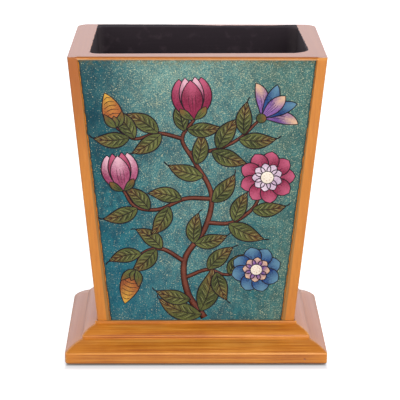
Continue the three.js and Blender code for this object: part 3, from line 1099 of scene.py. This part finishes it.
class Picture:
    """Collects patches of paint and brush lines, and makes them into thin closed meshes."""

    def __init__(self, face, paints, inks):
        self.face = face
        self.paints = paints
        self.inks = inks
        self.patches = []
        self.lines = {name: [] for name in inks}
        self.hand = random.Random(7)
        self.leaf_level = LEAF_LEVEL

    def patch(self, paint, place, level):
        bpy.ops.mesh.primitive_grid_add(x_subdivisions=2, y_subdivisions=10, size=1)
        piece = bpy.context.object
        for vertex in piece.data.vertices:
            along = (1 - math.cos(math.pi * (vertex.co.y + 0.5))) / 2
            point = place(along, vertex.co.x * 2)
            vertex.co = (point.x * MM, point.y * MM, level * MM)
        piece.data.materials.append(self.paints[paint])
        self.patches.append(piece)

    def line(self, points, radius, level, ink="dark", swell=0.35):
        """A brush line, thin at its ends and fuller in the middle."""
        count = len(points) - 1
        arcs = [math.sin(math.pi * index / count) for index in range(count + 1)]
        radii = [radius * (1 - swell + swell * arc) for arc in arcs]
        self.lines[ink].append((points, radii, level))

    def outline(self, place, level, radius):
        for side in (-1, 1):
            self.line([place(step / 12, side) for step in range(13)], radius, level)

    def stem(self, points, thick, thin):
        """A brown stem with a dark edge, tapering from its root."""
        line = curve_through(points)
        count = len(line) - 1
        for ink, grow, level in (("dark", 0.2, STEM_LEVEL), ("brown", 0, STEM_LEVEL + 0.005)):
            radii = [thick + (thin - thick) * index / count + grow for index in range(count + 1)]
            self.lines[ink].append((line, radii, level))
        return line

    def leaf(self, line, share, side, length, width, bend, spread):
        """A veined leaf that grows from a stem, to its left (1) or its right (-1)."""
        index = min(int(share * (len(line) - 1)), len(line) - 2)
        along = line[index + 1] - line[index]
        heading = math.atan2(along.y, along.x) + side * spread
        bend = -side * bend + self.hand.uniform(-0.15, 0.15)
        place = blade(line[index], heading, length, width, bend, 0.82)
        self.leaf_level += LEAF_STEP
        above = self.leaf_level + LINE_LIFT
        self.patch("leaf", place, self.leaf_level)
        self.outline(place, above, 0.21)
        self.line([place(step / 8, 0) for step in range(9)], 0.15, above)
        hook = blade(place(1, 0), heading + bend, 1.8, 1, bend * 1.4)
        self.line([hook(step / 3, 0) for step in range(4)], 0.22, above)
        for root in (0.14 + 0.15 * index for index in range(5)):
            for half in (-1, 1):
                reach = half * (0.72 + self.hand.uniform(-0.1, 0.1))
                vein = [place(root + 0.17 * t, reach * t**0.8) for t in (0.04, 0.35, 0.7, 1)]
                self.line(vein, 0.13, above)
                pale = [place(root + 0.06 + 0.15 * t, half * 0.7 * t) for t in (0.15, 0.5, 0.9)]
                self.line(pale, 0.09, above, "pale")

    def petal(self, paint, base, heading, length, width, level, bend, form, ribs=2):
        """A petal. Its form is how far out it is fullest, and how blunt it is."""
        place = blade(base, heading, length, width, bend, *form)
        self.patch(paint, place, level)
        self.outline(place, level + LINE_LIFT, 0.18)
        for index in range(ribs):
            across = (index + 1) / (ribs + 1) * 1.4 - 0.7
            self.line([place(share, across) for share in (0.2, 0.4, 0.62)], 0.08, level + LINE_LIFT)

    def disc(self, paint, centre, radius, level):
        centre = Vector(centre)
        place = blade(centre - Vector((radius, 0)), 0, 2 * radius, 2 * radius, 0, 1, 0.55)
        self.patch(paint, place, level)
        ring = [centre + aim(math.tau * step / 14) * radius for step in range(15)]
        self.line(ring, 0.14, level + LINE_LIFT, swell=0.1)

    def daisy(self, centre, radius, count, petals, inner, turn=0.0):
        centre = Vector(centre)
        level = BLOOM_LEVEL
        width = 5.6 * radius / count
        for index in range(count):
            heading = turn + math.tau * index / count + self.hand.uniform(-0.06, 0.06)
            self.petal(petals, centre, heading, radius, width, level, 0, (1.5, 0.62))
            level += COAT * 0.9
        width = 3.2 * radius / count
        for index in range(count):
            heading = turn + math.tau * (index + 0.5) / count
            self.petal(inner, centre, heading, radius * 0.55, width, level, 0, (1.4, 0.7), 0)
            level += COAT * 0.25
        level += COAT
        self.disc("heart", centre, radius * 0.24, level)
        for index in range(7):
            dot = centre + aim(math.tau * index / 7 + turn) * radius * 0.13
            self.line([dot, dot + Vector((0.12, 0.12))], 0.16, level + LINE_LIFT, "ochre", 0)

    def whorl(self, base, heading, level, petals):
        """Petals from one base, each later one on top. A petal's spread and bend are mirrored."""
        for paint, spread, length, width, bend, form, ribs in petals:
            for side in (-1, 1) if spread else (0,):
                self.petal(
                    paint, base, heading + side * spread, length, width, level, side * bend, form, ribs
                )
                level += COAT

    def tulip(self, base, heading, size, paint, inside):
        self.whorl(Vector(base), heading, BLOOM_LEVEL, (
            (paint, 0.62, size, size * 0.42, -0.75, (1.1, 0.8), 2),
            (inside, 0.26, size * 0.98, size * 0.34, -0.3, (1.15, 0.8), 1),
            (paint, 0, size * 0.9, size * 0.46, 0, (1.05, 0.8), 3),
            ("leaf", 1.1, size * 0.4, size * 0.17, -0.6, (1.25, 0.7), 2),
        ))

    def bell(self, base, heading, size, paint, lining):
        self.whorl(base, heading, BLOOM_LEVEL, (
            (paint, 0.5, size, size * 0.34, 0.9, (1.2, 0.75), 2),
            (lining, 0.2, size, size * 0.34, 0.35, (1.2, 0.75), 2),
            (paint, 0, size * 0.86, size * 0.36, 0, (1.25, 0.7), 3),
        ))
        self.disc("leaf", base, size * 0.13, BLOOM_LEVEL + COAT * 6)

    def bud(self, base, heading, size):
        place = blade(base, heading, size, size * 0.5, 0.2, 0.8, 0.85)
        self.patch("bud", place, BLOOM_LEVEL)
        self.outline(place, BLOOM_LEVEL + LINE_LIFT, 0.16)
        for share in (0.24 + 0.115 * index for index in range(6)):
            arc = [place(share + 0.05 * (1 - t * t), t * 0.72) for t in (-1, -0.5, 0, 0.5, 1)]
            self.line(arc, 0.12, BLOOM_LEVEL + LINE_LIFT)
        for side in (-1, 0, 1):
            length = size * (0.5 if side else 0.34)
            level = BLOOM_LEVEL + COAT * (2 + side)
            turn = heading + side * 0.75
            self.petal("leaf", base, turn, length, size * 0.2, level, -side * 0.5, (0.9, 1), 1)

    def painted_piece(self):
        """The patches as one thin piece."""
        pick(*self.patches)
        bpy.ops.object.join()
        piece = bpy.context.object
        piece.name = f"{self.face}_flowers"
        merge(piece)
        coat = piece.modifiers.new("coat", "SOLIDIFY")
        coat.thickness = COAT_THICKNESS * MM
        coat.offset = -1
        bpy.ops.object.modifier_apply(modifier=coat.name)
        return piece

    def stroke(self, ink):
        """The lines of one ink as a curve, stretched upwards until it is flattened."""
        curve = bpy.data.curves.new(f"{self.face}_{ink}_lines", "CURVE")
        curve.dimensions = "3D"
        curve.bevel_depth = MM
        curve.bevel_resolution = 0
        curve.use_fill_caps = True
        for points, radii, level in self.lines[ink]:
            spline = curve.splines.new("POLY")
            spline.points.add(len(points) - 1)
            for spot, point, radius in zip(spline.points, points, radii):
                spot.co = (point[0] * MM, point[1] * MM, level * MM / LINE_FLATNESS, 1)
                spot.radius = radius
        stroke = bpy.data.objects.new(curve.name, curve)
        bpy.context.scene.collection.objects.link(stroke)
        curve.materials.append(self.inks[ink])
        stroke.scale = (1, 1, LINE_FLATNESS)
        return stroke

    def drawn_piece(self):
        """The brush lines as one piece."""
        pick(*[self.stroke(ink) for ink in self.lines])
        bpy.ops.object.convert(target="MESH")
        bpy.ops.object.join()
        piece = bpy.context.object
        piece.name = f"{self.face}_brush_lines"
        merge(piece)
        place_in_mesh(piece)
        return piece


def flowering_stems(picture):
    """The design: a main stem with branches, leaves along them, and a flower at each end."""
    lines = [picture.stem(points, thick, thin) for points, thick, thin, _ in STEMS]
    for line, (_, _, _, leaves) in zip(lines, STEMS):
        for leaf in leaves:
            picture.leaf(line, *leaf)
    up = math.pi / 2
    picture.tulip((-1, 76), up + 0.1, 15.5, "crimson", "rose")
    picture.tulip((-25, 50), up + 0.15, 14.5, "rose", "crimson")
    picture.daisy((24, 55), 9.6, 9, "crimson", "lilac")
    picture.daisy((21, 20), 8.8, 8, "blue", "violet", 0.3)
    picture.bell((21.5, 76.5), up * 0.5, 13, "violet", "blue")
    picture.bud((-21, 20), -up - 0.4, 14)
    picture.bud((-27, 73), up + 0.2, 13)


def art_paints(kinds):
    """A material for each kind of paint or ink."""
    paints = {}
    for kind, (name, *tones) in kinds.items():
        paints[kind] = art_paint(name, *(colour(*tone) for tone in tones))
    return paints


def flowers():
    paints, inks = art_paints(PAINTS), art_paints(INKS)
    up = Vector((0, -math.sin(lean), math.cos(lean)))
    out = Vector((0, -math.cos(lean), -math.sin(lean)))
    foot = Vector((0, -half_depth_at(0), foot_z)) - out * glass_set_back
    on_glass = Matrix.Translation(foot) @ Matrix(((1, 0, 0), up, out)).transposed().to_4x4()
    for face, turn in (("front", 0), ("back", math.pi)):
        picture = Picture(face, paints, inks)
        flowering_stems(picture)
        for piece in (picture.painted_piece(), picture.drawn_piece()):
            piece.matrix_world = Matrix.Rotation(turn, 4, "Z") @ on_glass
            place_in_mesh(piece)
            dress(piece, "painted_glass", None)


# Floor, light and camera.

SKY = (0.96, 0.92, 1, 1)
WHITE = (1, 1, 1, 1)
LAMP_COLOUR = (1, 0.97, 0.92)
FLOOR_SEEN = (0.55, 0.55, 0.55, 1)
FLOOR_HIDDEN = (0.8, 0.8, 0.8, 1)
GLOW_AWAY = (0.9, 0.9, 0.9, 1)
# The glow is dimmer near the base and dark at its edge: a painted shadow.
SHADOWED_GLOW = (0.365, 0.385, 0.41, 1)
SHADOW_UNDER = (0.05, 0.035, 0.025, 1)


def studio_floor():
    """A pale floor. To the camera it glows nearly white, with a painted shadow in front of the base
    and at its edge.
    """
    bpy.ops.mesh.primitive_plane_add(size=6, location=(0, 0, -0.0001))
    floor = bpy.context.object
    floor.name = "studio_floor"
    finish = Finish("white_floor")
    seen = finish.node("ShaderNodeLightPath", out="Is Camera Ray")
    in_front = -base_half_depth / MM - finish.y
    beside = abs(finish.x) - base_half_width / MM
    # Painted shadow: the glow fades in away from the base and is dark right at its edge.
    away = in_front.rises(0.8, 5.5).most(beside.rises(-1, 1.5)).most(finish.y.rises(-20, -10))
    under = beside.most(abs(finish.y) - base_half_depth / MM).falls(-0.9, 0.1)
    glow_tint = finish.mix(under, finish.mix(away, SHADOWED_GLOW, GLOW_AWAY), SHADOW_UNDER)
    matt_tint = finish.mix(seen, FLOOR_HIDDEN, FLOOR_SEEN)
    diffuse = finish.node("ShaderNodeBsdfDiffuse", {}, {"Color": matt_tint})
    glow = finish.node("ShaderNodeEmission", {}, {"Color": glow_tint, "Strength": seen})
    shader = finish.node("ShaderNodeAddShader", {}, {0: diffuse, 1: glow})
    floor.data.materials.append(finish.wear(shader))


def sky():
    """Bright low down, most of all behind the object, and dim overhead. The camera sees white."""
    world = bpy.data.worlds.new("studio")
    bpy.context.scene.world = world
    world.use_nodes = True
    nodes = Nodes(world.node_tree)
    _, y, z = nodes.axes(nodes.node("ShaderNodeTexCoord", out="Generated"))
    strength = (1 - z.rises(0.3, 0.9) * 0.72) * (0.58 + y.rises(-0.7, 0.8) * 0.64)
    lit = nodes.node("ShaderNodeBackground", {}, {"Color": SKY, "Strength": strength})
    white = nodes.node("ShaderNodeBackground", {}, {"Color": WHITE})
    seen = nodes.node("ShaderNodeLightPath", out="Is Camera Ray")
    both = nodes.node("ShaderNodeMixShader", {}, {0: seen, 1: lit, 2: white})
    nodes.end("ShaderNodeOutputWorld", both)


def lamps():
    middle = Vector((0, 0, 0.05))
    for name, place, size, power in (
        ("key_light", (0.7, -1.5, 0.85), 1.8, 29),
        ("fill_light", (-1.0, -1.2, 0.6), 1.4, 8),
    ):
        bpy.ops.object.light_add(type="AREA", location=place)
        lamp = bpy.context.object
        lamp.name = name
        lamp.data.size = size
        lamp.data.energy = power
        lamp.data.color = LAMP_COLOUR
        lamp.rotation_euler = (middle - Vector(place)).to_track_quat("-Z", "Y").to_euler()


def camera():
    """The photo's view, found by fitting the part's corners to the photo's."""
    bpy.ops.object.camera_add(location=(-6.206 * MM, -507.042 * MM, 226.291 * MM))
    view = bpy.context.object
    view.name = "photo_view"
    pitch, yaw, roll = (math.radians(angle) for angle in (19.0, -0.867, 0.314))
    level = Matrix.Rotation(yaw, 4, "Z") @ Matrix.Rotation(math.pi / 2 - pitch, 4, "X")
    view.rotation_euler = (level @ Matrix.Rotation(roll, 4, "Z")).to_euler()
    view.data.sensor_width = 36
    view.data.lens = 135
    view.data.clip_start = 0.01
    view.data.clip_end = 20
    bpy.context.scene.camera = view


def carried_over():
    """Finishes for the CAD nodes that stay as they are."""
    black, board, pile, metal = black_paint(), fibreboard(), felt(), steel()
    finishes = {"floor_board": black, "base_board": board, "base_felt": pile}
    for name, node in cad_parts.items():
        if name.endswith("screw") or "_pin" in name:
            finishes[name] = metal
        if name in finishes:
            node.data.materials.clear()
            node.data.materials.append(finishes[name])


camera()
studio_floor()
sky()
lamps()
body_boards()
mouldings()
panels()
flowers()
carried_over()

bpy.context.scene.view_settings.view_transform = "Standard"
